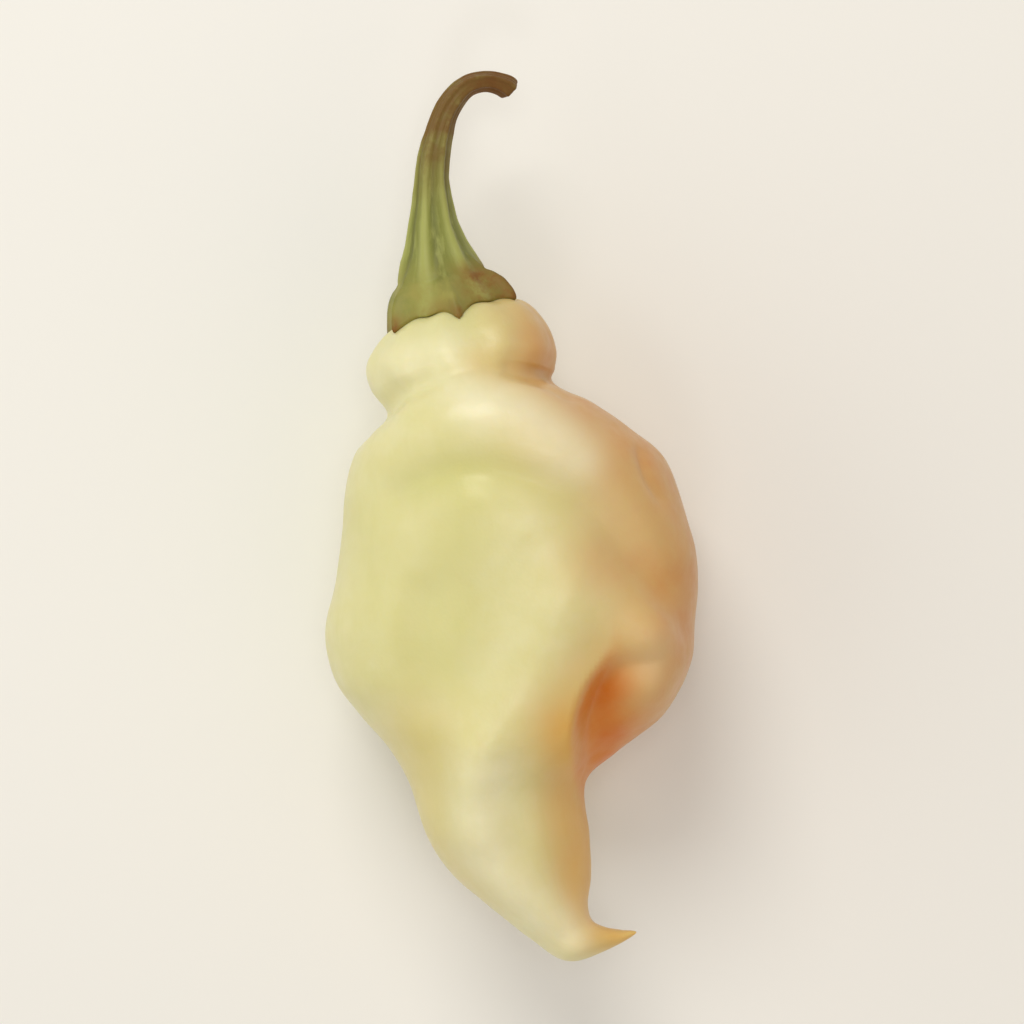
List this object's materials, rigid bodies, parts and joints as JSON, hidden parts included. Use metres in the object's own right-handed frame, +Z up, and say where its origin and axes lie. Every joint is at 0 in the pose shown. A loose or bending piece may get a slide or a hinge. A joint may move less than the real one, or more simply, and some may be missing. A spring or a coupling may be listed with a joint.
{
  "type": "seasoning pepper",
  "caption": "Whole pale yellow-green seasoning pepper with a lobed pod, collar, curled tail, green calyx and hooked stem, lying on its side.",
  "frame": {"origin": "on the surface that the pepper rests on, under the middle of its box", "axes": "+Y from the tail of the pod towards the stem, +X to the right seen from above with the stem away from the viewer, +Z up"},
  "size_m": [0.0372, 0.0881, 0.0316],
  "materials": {
    "pod_skin": "waxy satin pepper skin, pale yellow-green with a warm ochre blush",
    "stem_green": "matt ribbed green stem and calyx, olive brown towards the cut end"
  },
  "bodies": {
    "root": {"pod": "pod_skin", "stem_calyx": "stem_green"}
  },
  "joints": []
}
